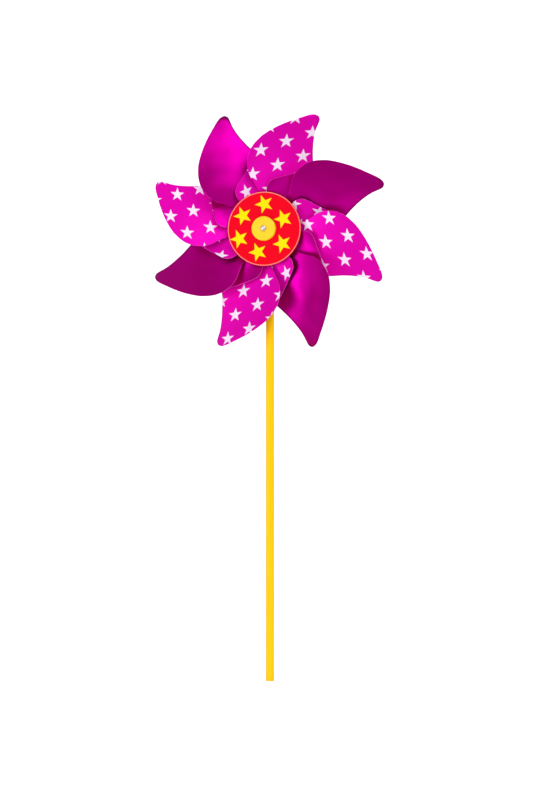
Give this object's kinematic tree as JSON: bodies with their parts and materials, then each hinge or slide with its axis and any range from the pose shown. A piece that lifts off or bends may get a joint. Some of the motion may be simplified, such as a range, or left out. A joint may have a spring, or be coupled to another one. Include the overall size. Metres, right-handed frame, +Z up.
{
  "type": "toy pinwheel",
  "caption": "Toy pinwheel on a stick: curled metallised film vanes in two stacked sheets spin on a pin behind a round front disc.",
  "frame": {"origin": "centre of the lower end of the stick", "axes": "+Z up along the stick, the wheel faces -Y and its axle lies along Y, +X to the right as seen from the front"},
  "size_m": [0.1644, 0.0348, 0.4012],
  "materials": {
    "stick_plastic": "glossy yellow extruded plastic",
    "pin_steel": "bright steel",
    "plain_film": "satin metallised magenta film, plain face forward, printed face behind",
    "star_film": "magenta film printed with pale stars on the front, plain metallised behind",
    "disc_plastic": "red moulded plastic",
    "printed_label": "red printed label with yellow stars, gloss laminated",
    "boss_plastic": "yellow moulded plastic"
  },
  "bodies": {
    "stand": {"stick": "stick_plastic", "axle_pin": "pin_steel", "pin_cap": "stick_plastic", "rear_spacer": "stick_plastic"},
    "wheel": {"hub": "stick_plastic", "plain_sheet": "plain_film", "star_sheet": "star_film", "clamp_ring": "stick_plastic", "front_disc": "disc_plastic", "disc_label": "printed_label", "front_boss": "boss_plastic"}
  },
  "joints": [
    {"name": "wheel_spin", "type": "hinge", "parent": "stand", "child": "wheel", "pos_m": [0, 0, 0.319], "axis": [0, -1, 0], "continuous": true}
  ]
}
